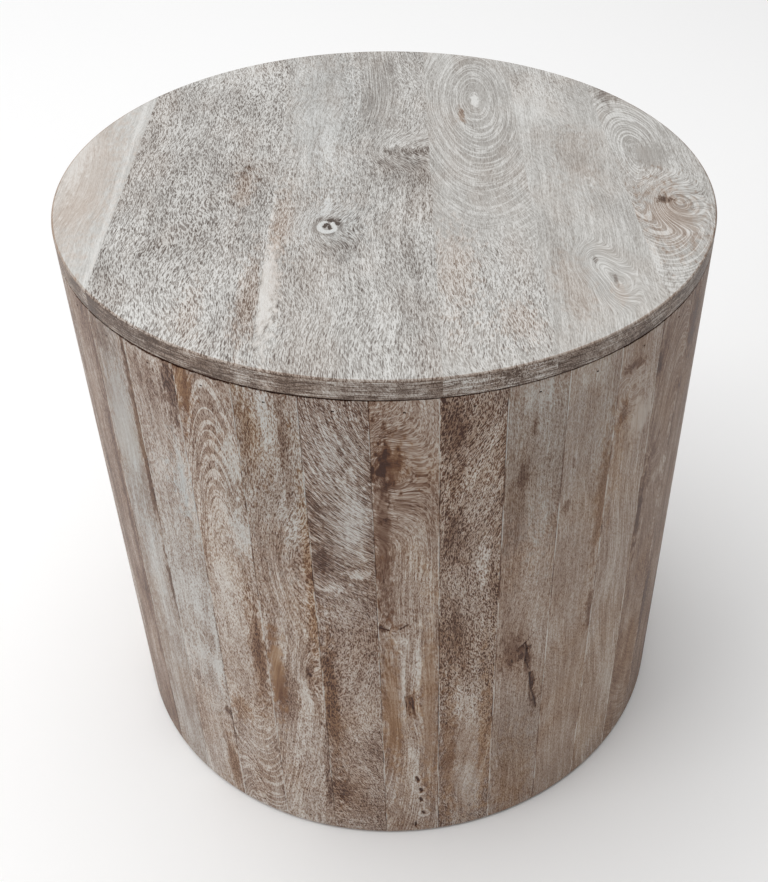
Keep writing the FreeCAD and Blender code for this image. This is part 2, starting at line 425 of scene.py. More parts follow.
def stave_mesh(rim_gap):
    """One stave facing the front: its section is spun through one pitch, eased, and pocketed."""
    inner = table_radius - stave_thickness
    seat = inner + rebate_depth
    gap_floor = table_radius - rim_gap_depth * rim_gap_floor_share
    gap_back = table_radius - rim_gap_depth
    lower_shoulder_z = foot_z + ring_thickness
    upper_shoulder_z = stave_top_z - ring_thickness
    pocket = brad_pocket_height / 2 + brad_pocket_border
    brad_heights = (foot_z + brad_from_end, stave_top_z - brad_from_end)
    outline = [(seat, foot_z), (table_radius, foot_z)]
    outline += [(table_radius, height + side) for height in brad_heights for side in (-pocket, pocket)]
    outline += [(radius, stave_top_z) for radius in (table_radius, gap_floor, gap_back, seat)]
    outline += [(seat, upper_shoulder_z), (inner, upper_shoulder_z)]
    outline += [(inner, lower_shoulder_z), (seat, lower_shoulder_z)]
    half = math.radians(stave_pitch) / 2
    mesh = bmesh.new()
    section = mesh.faces.new([
        mesh.verts.new((-r * math.sin(half), -r * math.cos(half), z)) for r, z in outline
    ])
    bmesh.ops.spin(
        mesh, geom=[section, *section.edges, *section.verts], axis=(0, 0, 1), cent=(0, 0, 0),
        angle=2 * half, steps=arc_steps,
    )
    open_edges = [edge for edge in mesh.edges if edge.is_boundary]
    bmesh.ops.holes_fill(mesh, edges=open_edges)
    bmesh.ops.recalc_face_normals(mesh, faces=mesh.faces)
    for vert in mesh.verts:
        if vert.co.xy.length < (inner + seat) / 2:
            vert.co.xy *= inner / -vert.co.y
    middle_faces = [
        face for face in mesh.faces
        if abs(face.calc_center_median().x) < near_pocket and face.normal.y < -0.9
        and min(abs(face.calc_center_median().z - height) for height in brad_heights) < near_pocket
    ]
    bmesh.ops.inset_individual(
        mesh, faces=middle_faces, thickness=brad_pocket_border, use_even_offset=True,
    )
    pocket_floors = bmesh.ops.extrude_discrete_faces(mesh, faces=middle_faces)["faces"]
    for face in pocket_floors:
        bmesh.ops.translate(mesh, verts=face.verts, vec=(0, brad_pocket_depth, 0))
    ledge = [
        vert for vert in mesh.verts
        if vert.co.z > stave_top_z - hairbreadth and vert.co.xy.length > (gap_floor + gap_back) / 2
    ]
    drops = [rim_gap * luck.uniform(0.35, 1.2) for step in range(arc_steps + 1)]
    for vert in ledge:
        column = (math.atan2(vert.co.x, -vert.co.y) / half + 1) / 2 * arc_steps
        vert.co.z -= drops[round(column)]
    long_edges = [
        edge for edge in mesh.edges
        if all(vert.co.xy.length > table_radius - hairbreadth for vert in edge.verts)
        and all(abs(abs(vert.co.x) - table_radius * math.sin(half)) < hairbreadth for vert in edge.verts)
    ]
    eased(mesh, long_edges, joint_ease)
    return mesh


def distance(tree, vector, middle, half_sizes):
    """The distance of a place from a middle, which is 1 on the oval of the given half sizes."""
    node = tree.nodes.new("ShaderNodeMapping")
    node.vector_type = "TEXTURE"
    node.inputs["Location"].default_value = (*middle, 0)
    node.inputs["Scale"].default_value = (*half_sizes, 1)
    tree.links.new(vector, node.inputs["Vector"])
    length = tree.nodes.new("ShaderNodeVectorMath")
    length.operation = "LENGTH"
    tree.links.new(node.outputs["Vector"], length.inputs[0])
    return Field(tree, length.outputs["Value"])


def marked(wood, wash, marks):
    """Bends rings and grain at knots and slants, and returns the patches of the other marks by kind.

    A mark is its kind, its place across and along, its half width and half height in mm, and its
    amount: a knot bends rings and grain, a slant leans the grain, a wash or a halo adds to the wash,
    a rim adds to it below the top's edge alone, a tan stains the wood brown, a cool greys the wash,
    a smooth patch has no threads or ring lines, a plain one no ring lines, and a lined one ring
    lines for threads.
    """
    bend_reach, halo_width = 1.8, 0.5
    patch_end, patch_core = 1.5, 0.4
    tree, across, along, depth = wood.tree, wood.across, wood.along, wood.depth
    patches = {kind: across * 0 for kind in ("tan", "cool", "smooth", "plain", "lined", "rim")}
    patches["wash"] = across * 0 + wash
    ragged = (noise(tree, (across * 230 + wood.seed, along * 110, depth * 230)) * 2).math("POWER", 1.5)
    on_face = tree.nodes.new("ShaderNodeCombineXYZ")
    plug(tree, across, on_face.inputs["X"])
    plug(tree, along, on_face.inputs["Y"])
    for kind, u, v, half_width, half_height, amount in marks:
        middle, half_sizes = (u / 1000, v / 1000), (half_width / 1000, half_height / 1000)
        reach = distance(tree, on_face.outputs[0], middle, half_sizes)
        if kind == "knot":
            hill = reach.step(bend_reach, 0, amount / 1000)
            wood.radius = wood.radius + hill
            wood.grain = wood.grain + hill
        elif kind == "slant":
            wood.grain = wood.grain + reach.step(bend_reach, 0, amount) * (along - middle[1])
        elif kind == "halo":
            patches["wash"] = patches["wash"] + (reach - 1).math("ABSOLUTE").step(halo_width, 0, amount)
        else:
            patches[kind] = patches[kind] + (reach * ragged).step(patch_end, patch_core, amount)
    return patches


def washed_wood(name, turn, way, log, seed, coat, finish, marks):
    """Hardwood brushed with a thin wash, in the colours of a coat and with its rubbed places and, on staves,
    painted shade in sunk places, and raw inside.

    The finish is how far the wash covers, how strong its brushed threads and the ring lines are,
    how far the grain slants, and how uneven the wash is.
    """
    wash, speckle, lines, slant, mottle = finish
    wood = figured(name, turn, way, log, slant, seed)
    patches = marked(wood, wash, marks)
    raw = raw_colour(wood, lines)[0]
    tree, across, along, depth, grain = wood.tree, wood.across, wood.along, wood.depth, wood.grain
    wood.cloud = noise(tree, (across * 36 + seed, along * 19, depth * 30 + seed), 2, 0.55)
    # On the staves the coat darkens sunk places with painted shade and darkens its joints; on the top it
    # browns and bares the rim and edge.
    darkening, tan, speckle = coat.wear(wood, patches, speckle)

    # The wash lies in brushed bright threads, dark dashes and thin ring lines.
    worm = noise(tree, (grain * 700 + seed, grain * 260 + along * coat.thread_along, depth * 400))
    thread = (worm - 0.5).math("ABSOLUTE").step(0.1, 0.035)
    dash_place = (grain * 1100 - seed, grain * -320 + along * coat.thread_along * 1.13, depth * 500)
    dash = noise(tree, dash_place, 1, 0.5).step(0.57, 0.65)
    ring = (wood.line - 0.5).math("ABSOLUTE").step(0.07, 0.02)
    threads = (thread - dash * 0.7 - 0.42) * (patches["lined"] * -1 + 1) * speckle
    ringed = (ring - 0.35) * (patches["plain"] * -lines + patches["lined"] * 0.3 + lines)
    cover = (wood.streak - 0.5) * mottle + (wood.cloud - 0.5) * mottle + patches["wash"]
    cover = (wood.line - 0.5) * lines * 0.5 + (wood.fibre - 0.5) * 0.4 + cover
    cover = cover + (threads + ringed) * (patches["smooth"] * -1 + 1) - darkening

    # Where it is thin, brown shows through unevenly, and below the skin the wood is raw.
    tint = noise(tree, (across * 22 - seed, along * 12 + seed, depth * 22)).step(0.42, 0.68)
    stain = (tint * coat.uneven_tan + tan) * (cover * -1 + 1.2)
    surface = mixed(tree, stain, toned(tree, cover, coat.tones), coat.tan_tone, "MULTIPLY")
    surface = mixed(tree, patches["cool"], surface, cool_tone, "MULTIPLY")
    surface = mixed(tree, wood.skin.step(washed_into, raw_below), surface, raw)
    shader = finished(wood.material, surface, cover * 0.2 + 0.45, thread + wood.fibre, wood_relief)
    shader.inputs["Specular IOR Level"].default_value = wood_gloss
    return wood.material


def stave_wear(wood, patches, speckle):
    """How much darker a stave is, with its tan and threads: painted shade in its cracks, rim gap and brad
    pockets, and filled in parts of its joints.
    """
    joint = wood.across.math("ABSOLUTE").step(joint_start, joint_full)
    filler = noise(wood.tree, (wood.across * 40 + wood.seed, wood.along * 16, wood.depth)).step(0.42, 0.58)
    # Painted shade: the wash is darkened wherever the face sinks below the turned round, in cracks, the rim
    # gap and the brad pockets.
    darkening = wood.inwards.step(sunk_shade_start, sunk_shade_full) * 0.6 - joint * (filler * 0.8 - 0.3)
    return darkening, patches["tan"], speckle


side_coat = SimpleNamespace(
    tones=(
        srgb(66, 39, 26), srgb(108, 80, 64), srgb(147, 126, 112), srgb(182, 169, 159), srgb(209, 204, 198),
    ),
    tan_tone=srgb(236, 207, 170), uneven_tan=0.45, thread_along=215, wear=stave_wear,
)

# About how far the front staves stop short of the rim, and the strokes of their open cracks and
# knots: a start and an end, each across and along the board, a half width and a depth.
rim_gaps = {30: 1.2, 31: 1.8, 32: 1.6, 33: 1.1, 34: 0.8, 35: 0.4, 1: 0.4, 2: 0.3, 3: 0.45, 4: 0.9, 5: 0.8}
stave_cracks = {
    33: [(10, 219, 14, 210, 1.6, 0.6), (13, 212, 9, 205, 1.2, 0.5)],
    34: [(-22, 53, -16, 52, 0.7, 0.9), (-16, 52, -8, 54, 0.6, 0.7)],
    35: [
        (-21, 276, -15, 273, 1.2, 0.9), (-15, 273, -10, 266, 0.6, 0.5), (-6, 274, 0, 279, 1.0, 0.8),
        (-10, 266, -6, 274, 0.6, 0.5), (1, 192, 3, 178, 1.2, 0.8), (-1, 196, 0, 172, 0.6, 0.5),
        (5, 198, 6, 174, 0.7, 0.7), (0, 185, 4, 170, 0.8, 0.7), (-4, 194, -3, 180, 0.8, 0.8),
        (4, 84, 6, 78, 1.4, 1.0), (7, 66, 9, 62, 1.5, 1.0), (7, 52, 9, 47, 1.4, 1.0),
        (9, 31, 11, 27, 1.2, 1.0), (3, 15, 3, 10, 0.8, 1.2),
    ],
    2: [
        (-3, 226, 3, 230, 0.8, 0.7), (3, 230, 5, 222, 1.0, 1.1), (5, 222, 4, 208, 0.9, 1.0),
        (4, 208, 9, 194, 0.8, 0.9), (9, 190, 11, 172, 1.1, 1.2), (11, 170, 14, 158, 0.8, 1.0),
        (15, 156, 18, 140, 0.9, 1.1), (3, 230, 10, 238, 0.8, 0.7), (10, 238, 16, 243, 0.7, 0.5),
        (6, 216, 8, 204, 0.8, 0.8), (13, 182, 13, 168, 0.8, 0.9), (10, 164, 12, 150, 0.7, 0.8),
    ],
}

# Each front stave's look: its log, its finish and its marks, as washed_wood takes them.
stave_looks = {
    29: ((0.07, -0.4, 0.05, 0.008), (0.38, 0.25, 0.15, 0.0, 0.6), (
        ("wash", -8, 420, 16, 60, 0.15), ("wash", 16, 300, 4, 120, -0.2), ("wash", 6, 120, 12, 60, 0.1),
    )),
    30: ((-0.06, -0.5, 0.05, 0.01), (0.66, 0.24, 0.12, 0.0, 0.5), (
        ("wash", -2, 400, 20, 50, 0.12), ("wash", 20, 400, 3, 90, -0.4),
        ("wash", -12, 478, 16, 14, -0.25), ("wash", 4, 250, 14, 70, 0.16),
        ("wash", 21, 250, 2, 30, -0.35), ("smooth", -2, 400, 18, 50, 0.6),
        ("cool", -2, 400, 22, 110, 0.4), ("cool", 0, 200, 60, 400, 0.5), ("tan", 21, 400, 4, 90, 0.8),
    )),
    31: ((0.05, -0.4, 0.05, 0.008), (0.67, 0.33, 0.15, 0.0, 0.65), (
        ("wash", 18, 465, 6, 25, -0.35), ("wash", 14, 385, 8, 30, 0.2), ("wash", 2, 185, 12, 20, 0.15),
        ("wash", 0, 270, 30, 60, 0.13), ("wash", 20, 123, 3, 7, -0.45), ("tan", 15, 45, 7, 50, 0.9),
        ("wash", 15, 45, 6, 50, -0.17), ("wash", -12, 148, 6, 8, -0.25),
        ("wash", -5, 470, 20, 16, -0.2), ("cool", 13, 385, 8, 30, 0.5), ("cool", 0, 260, 60, 120, 0.5),
    )),
    32: ((0.0, 0.33, 0.2, 0.006), (0.63, 0.36, 0.34, 0.0, 0.55), (
        ("tan", -16, 479, 7, 24, 1.2), ("wash", -16, 479, 7, 24, -0.2), ("wash", 17, 425, 7, 18, 0.3),
        ("wash", 15, 350, 7, 20, 0.35), ("wash", 15, 225, 7, 60, -0.32), ("tan", 15, 225, 7, 60, 0.6),
        ("wash", -10, 137, 9, 16, -0.25), ("tan", -10, 137, 9, 16, 0.8),
        ("plain", 0, 235, 60, 115, 0.9), ("knot", -11, 20, 8, 50, 8), ("wash", -6, 300, 14, 40, 0.15),
        ("smooth", -16, 479, 7, 24, 0.5), ("tan", 0, 300, 60, 300, 0.3), ("cool", 16, 390, 9, 60, 0.5),
        ("plain", 18, 330, 8, 110, 0.8), ("wash", 0, 260, 30, 70, 0.08),
    )),
    33: ((-0.04, 0.9, 0.1, 0.016), (0.57, 0.4, 0.2, -0.1, 0.65), (
        ("tan", -14, 450, 10, 40, 0.7), ("wash", -14, 450, 10, 40, -0.12),
        ("wash", -1, 472, 4, 24, 0.35), ("tan", -15, 205, 6, 45, 1.2), ("smooth", -15, 205, 6, 45, 1),
        ("wash", 7, 180, 5, 28, 0.35), ("wash", 20, 80, 3, 60, -0.35), ("wash", 11, 440, 3, 45, -0.3),
        ("tan", 20, 330, 4, 90, 1), ("knot", 12, 215, 9, 26, 8), ("wash", 12, 215, 5, 14, -0.25),
        ("knot", 6, 330, 16, 50, 12), ("wash", 0, 60, 20, 60, 0.12), ("tan", 0, 300, 60, 300, 0.4),
        ("plain", 0, 430, 60, 60, 0.7), ("cool", 0, 430, 60, 80, 0.6), ("wash", 0, 430, 40, 80, 0.05),
    )),
    34: ((0.05, 0.49, 0.75, 0.01), (0.45, 0.47, 0.34, 0.3, 0.5), (
        ("slant", 0, 390, 90, 130, 0.9), ("plain", 0, 160, 60, 150, 0.9), ("wash", -4, 445, 7, 30, 0.2),
        ("wash", 8, 395, 8, 34, 0.25), ("wash", 14, 455, 8, 30, 0.1), ("wash", -15, 345, 7, 12, -0.35),
        ("cool", 4, 410, 22, 90, 0.35), ("wash", -8, 318, 9, 5, 0.4), ("wash", 10, 333, 9, 5, 0.4),
        ("wash", -17, 180, 6, 90, -0.2), ("wash", -14, 60, 8, 18, -0.25),
        ("wash", -18, 395, 5, 14, -0.2), ("wash", 5, 200, 12, 90, 0.1), ("tan", -17, 180, 6, 90, 0.8),
        ("tan", -5, 150, 60, 160, 0.4), ("wash", 12, 380, 9, 30, 0.15),
    )),
    35: ((-0.03, 0.20, 0.12, 0.008), (0.58, 0.28, 0.22, 0.0, 0.5), (
        ("wash", -11, 440, 10, 14, -0.17), ("smooth", -11, 436, 9, 17, 0.8),
        ("knot", -20, 430, 26, 40, 40), ("wash", -13, 430, 8, 22, -0.2),
        ("wash", -16, 365, 5, 80, -0.3), ("smooth", -16, 380, 5, 60, 0.7),
        ("tan", -10, 440, 12, 18, 0.8), ("wash", -2, 400, 9, 7, -0.2), ("wash", -19, 274, 3, 4, -0.35),
        ("knot", -17, 272, 8, 12, 5), ("wash", -12, 270, 6, 3, 0.2), ("wash", -4, 277, 4, 2.5, -0.2),
        ("wash", -8, 262, 5, 6, 0.2), ("knot", 2, 187, 9, 34, 6), ("wash", 2, 180, 4, 14, -0.25),
        ("wash", -5, 205, 1.5, 40, 0.3), ("wash", 7, 230, 2, 40, 0.25), ("tan", 2, 182, 6, 20, 0.8),
        ("wash", 0, 240, 5, 24, 0.08), ("tan", -14, 180, 7, 80, 0.8), ("smooth", -14, 180, 7, 80, 0.6),
        ("tan", 15, 180, 7, 100, 0.7), ("plain", 10, 430, 18, 80, 0.55),
        ("smooth", 15, 180, 7, 100, 0.6), ("wash", 2, 80, 6, 65, 0.15), ("wash", 8, 340, 10, 50, 0.15),
        ("wash", 5, 80, 1.6, 4, -0.5), ("wash", 8, 64, 1.5, 3, -0.5), ("wash", 8, 50, 1.6, 3, -0.5),
        ("wash", 10, 30, 1.6, 3, -0.5), ("wash", 3, 12, 1, 4, -0.7), ("halo", 5, 80, 3, 6, 0.15),
        ("halo", 8.4, 63, 4, 5.5, 0.26), ("halo", 7, 49, 3, 4, 0.18), ("halo", 10.5, 29, 4, 5, 0.26),
        ("wash", -2, 186, 4, 12, -0.2), ("wash", 5, 182, 1.2, 11, 0.35), ("tan", 0, 300, 60, 300, 0.4),
    )),
    1: ((0.05, -0.2, 0.1, 0.01), (0.46, 0.58, 0.1, -0.1, 0.6), (
        ("slant", 0, 410, 60, 90, -0.5), ("wash", -13, 465, 10, 40, -0.3),
        ("wash", -12, 365, 9, 24, -0.3), ("wash", 10, 340, 4, 18, 0.2),
        ("wash", -12, 260, 11, 34, -0.2), ("wash", 0, 110, 20, 110, 0.17),
        ("wash", -14, 110, 5, 100, -0.12), ("tan", 17, 130, 6, 90, 0.8), ("tan", -14, 110, 5, 100, 0.6),
        ("smooth", 0, 90, 30, 90, 0.6), ("tan", 0, 300, 60, 300, 0.6), ("wash", 12, 420, 10, 70, 0.12),
    )),
    2: ((0.09, -0.6, 0.05, 0.006), (0.56, 0.22, 0.1, 0.0, 0.3), (
        ("wash", -2.5, 453, 2, 7, -0.25), ("wash", -8, 412, 4, 10, -0.2),
        ("wash", -12, 370, 7, 60, -0.15), ("wash", 2, 222, 5, 6, -0.25),
        ("wash", 5, 205, 3.5, 14, -0.3), ("wash", 11, 176, 3, 16, -0.35),
        ("wash", 15, 152, 2.5, 12, -0.3), ("wash", 2, 200, 1.2, 12, 0.3),
        ("wash", 8, 172, 1.2, 14, 0.3), ("wash", -8, 225, 8, 16, -0.2), ("wash", -8, 235, 9, 30, -0.1),
        ("cool", 0, 110, 30, 60, 0.4), ("cool", 0, 430, 60, 80, 0.7), ("wash", 0, 430, 40, 80, 0.06),
        ("wash", 12, 300, 9, 90, 0.1), ("tan", -2, 60, 20, 60, 0.6), ("wash", 0, 480, 14, 12, 0.15),
        ("tan", 0, 300, 60, 300, 0.4),
    )),
    3: ((-0.08, -0.6, 0.05, 0.006), (0.61, 0.18, 0.1, 0.0, 0.3), (
        ("wash", -13, 408, 2, 4, -0.25), ("wash", -16, 366, 2.5, 6, -0.3),
        ("wash", 19, 350, 7, 60, -0.12), ("tan", 19, 350, 7, 60, 0.6), ("wash", 20, 235, 3, 20, -0.3),
        ("wash", -2, 480, 10, 10, 0.15), ("tan", 0, 200, 60, 300, 0.4), ("cool", 0, 430, 60, 80, 0.4),
        ("wash", 0, 430, 40, 80, 0.03), ("tan", 0, 100, 60, 90, 0.25),
    )),
    4: ((0.06, 0.7, 0.1, 0.008), (0.61, 0.18, 0.16, 0.0, 0.35), (
        ("wash", 0, 260, 30, 70, 0.05), ("knot", -10, 448, 10, 20, 18), ("wash", -10, 470, 9, 4, -0.3),
        ("wash", -14, 430, 4, 9, -0.3), ("wash", 8, 415, 14, 17, 0.25), ("smooth", 8, 415, 14, 17, 0.9),
        ("wash", 14, 120, 10, 50, 0.12), ("tan", -16, 380, 7, 44, 0.6), ("tan", 0, 200, 60, 300, 0.4),
        ("tan", 0, 100, 60, 90, 0.35), ("wash", 0, 100, 40, 90, 0.04),
    )),
    5: ((0.02, 0.34, 0.3, 0.012), (0.48, 0.16, 0.2, 0.0, 0.5), (
        ("wash", -19, 300, 4, 35, -0.35), ("wash", -20, 452, 3, 10, -0.35),
        ("knot", -12, 350, 9, 16, 14), ("wash", -8, 365, 8, 10, -0.15), ("wash", 10, 330, 14, 8, 0.2),
        ("tan", 0, 250, 60, 300, 0.4), ("plain", 0, 160, 60, 150, 0.7), ("tan", 0, 100, 60, 90, 0.45),
        ("wash", 0, 100, 40, 90, 0.04),
    )),
    6: ((0.05, 0.5, 0.2, 0.01), (0.44, 0.2, 0.15, 0.0, 0.6), (
        ("tan", -8, 460, 12, 30, 1), ("wash", -8, 460, 12, 30, -0.3), ("wash", -18, 160, 5, 60, -0.3),
        ("tan", 0, 250, 60, 300, 0.4), ("plain", 0, 200, 60, 250, 0.7),
    )),
}


def chance_marks():
    """A few knots, bare streaks, stains and pale patches, strewn over a stave that has no others."""
    marks = []
    if luck.random() < 0.5:
        u, v = luck.uniform(-18, 18), luck.uniform(30, 460)
        size = luck.uniform(3, 8)
        marks.append(("knot", u, v, size, size * 2.5, size * 1.6))
        marks.append(("wash", u, v, size * 0.5, size * 1.2, -0.5))
    for amount in (luck.uniform(-0.45, -0.2), luck.uniform(-0.35, 0), luck.uniform(0.1, 0.35)):
        u, v = luck.uniform(-20, 20), luck.uniform(10, 480)
        marks.append(("wash", u, v, luck.uniform(3, 11), luck.uniform(15, 110), amount))
    u, v = luck.uniform(-20, 20), luck.uniform(10, 480)
    marks.append(("tan", u, v, 8, luck.uniform(30, 120), luck.random()))
    return marks


for number in range(1, stave_count + 1):
    angle = math.radians(first_joint_angle + (number - 0.5) * stave_pitch)
    mesh = stave_mesh(rim_gaps.get(number, luck.uniform(0.4, 1.1)) / 1000)
    if number in stave_cracks:
        carved(mesh, Vector((0, -1, 0)), stave_cracks[number])
    bmesh.ops.rotate(mesh, verts=mesh.verts, cent=(0, 0, 0), matrix=Matrix.Rotation(angle, 3, "Z"))
    heart = (luck.uniform(-0.06, 0.06), luck.uniform(-0.5, 1.0))
    log = (*heart, luck.uniform(0.04, 0.2), luck.uniform(0.005, 0.014))
    wash, speckle, lines = luck.uniform(0.44, 0.6), luck.uniform(0.2, 0.5), 0.25
    finish = (wash, speckle, lines, luck.uniform(-0.1, 0.1), luck.uniform(0.5, 1))
    log, finish, marks = stave_looks.get(number, (log, finish, chance_marks()))
    name = "washed_stave_%02d" % number
    seed = number * 7.3
    wood = washed_wood(name, angle, "stave", log, seed, side_coat, finish, marks)
    new_piece(name, mesh, "stave_%02d" % number, wood)

# Two rows of brads, shot through the staves into the rings and set a little below the face. They
# are bright wire that has dulled in its pockets.
brad_length = 0.025
brad_sink = 0.0015
brad_tip_radius = table_radius - brad_sink - brad_length
scratch_relief = 0.00005


def dull_metal(name, colour, roughness):
    """Metal with fine scratches and dull spots."""
    material, tree, x, y, z = new_finish(name)
    spots = noise(tree, (x * 900, y * 900, z * 900))
    scratches = noise(tree, (x * 2600, y * 2600, z * 400))
    dark = tuple(value * 0.45 for value in colour[:3]) + (1,)
    surface = mixed(tree, spots.step(0.35, 0.7), dark, colour)
    shader = finished(material, surface, scratches * 0.3 + roughness, scratches, scratch_relief)
    shader.inputs["Metallic"].default_value = 1
    return material


brad_wire = dull_metal("dulled_brad_wire", srgb(150, 146, 140), 0.35)
for name in ("upper_brads", "lower_brads"):
    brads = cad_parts[name]
    brads.data.materials.clear()
    brads.data.materials.append(brad_wire)

# The top is six boards of unequal width, glued edge to edge, turned round and eased at the rim. The
# wash is thickest here, thinner on the rim, and the underside is raw.
top_sides = 360
top_thickness = 0.016
top_edge_ease = 0.0012
top_underside_ease = 0.0008
glue_line_ease = 0.00012
glue_line_x_shares = (-0.8, -0.35, 0.127, 0.425, 0.724)
glue_line_leans = (1.1, 0.0, 0.0, 0.2, -2.0)
rim_start, rim_full = 0.0005, 0.0018
arris_end, arris_full = 0.0017, 0.0011
rim_speckle = 0.25
top_z = cad_box[1].z
top_underside_z = top_z - top_thickness


def round_top():
    """The glued-up top, turned round and eased above and below."""
    mesh = bmesh.new()
    bmesh.ops.create_circle(
        mesh, cap_ends=True, segments=top_sides, radius=table_radius,
        matrix=Matrix.Translation((0, 0, top_underside_z)),
    )
    raised = bmesh.ops.extrude_face_region(mesh, geom=mesh.faces[:])["geom"]
    raised_verts = [part for part in raised if isinstance(part, bmesh.types.BMVert)]
    bmesh.ops.translate(mesh, verts=raised_verts, vec=(0, 0, top_thickness))
    bmesh.ops.recalc_face_normals(mesh, faces=mesh.faces)
    for height, width, steps in ((top_z, top_edge_ease, 4), (top_underside_z, top_underside_ease, 1)):
        edges = [
            edge for edge in mesh.edges
            if all(abs(vert.co.z - height) < hairbreadth for vert in edge.verts)
        ]
        eased(mesh, edges, width, steps)
    return mesh


def sawn(mesh, place, lean, kept_side):
    """Cuts the top along a glue line and keeps one side, with the new edge eased a hair."""
    on_line = Vector((place, 0, top_z))
    turn = math.radians(lean)
    into_board = Vector((math.cos(turn), -math.sin(turn), 0)) * kept_side
    cut = bmesh.ops.bisect_plane(
        mesh, geom=[*mesh.verts, *mesh.edges, *mesh.faces], plane_co=on_line, plane_no=into_board,
        clear_inner=True,
    )["geom_cut"]
    bmesh.ops.holes_fill(mesh, edges=[part for part in cut if isinstance(part, bmesh.types.BMEdge)])
    glue_edges = [
        edge for edge in mesh.edges
        if all(abs(vert.co.z - top_z) < hairbreadth for vert in edge.verts)
        and all(abs((vert.co - on_line).dot(into_board)) < hairbreadth for vert in edge.verts)
    ]
    eased(mesh, glue_edges, glue_line_ease)


def rim_wear(wood, patches, speckle):
    """How bare the top is, with its tan and threads: its rim and edge are browner, barer and lined."""
    rim = wood.depth.step(rim_start, rim_full)
    arris = (wood.depth + wood.inwards).step(arris_end, arris_full)
    rim_place = (wood.across * 26 + wood.seed, wood.along * 26, (wood.depth + wood.slow * 0.012) * 600)
    rim_line = noise(wood.tree, rim_place)
    crease = (rim_line - 0.5).math("ABSOLUTE").step(0.05, 0.01)
    darkening = crease * 0.5 + 0.22 - (rim_line - 0.5) - (wood.cloud - 0.5) * 1.3 - patches["rim"]
    tan = patches["tan"] + arris * 0.8 + rim * 0.8
    return rim * darkening + arris * 0.22, tan, rim * (rim_speckle - speckle) + speckle


top_coat = SimpleNamespace(
    tones=(
        srgb(86, 77, 71), srgb(127, 120, 115), srgb(160, 156, 151), srgb(189, 187, 183), srgb(213, 212, 209),
    ),
    tan_tone=srgb(242, 216, 198), uneven_tan=0.3, thread_along=115, wear=rim_wear,
)

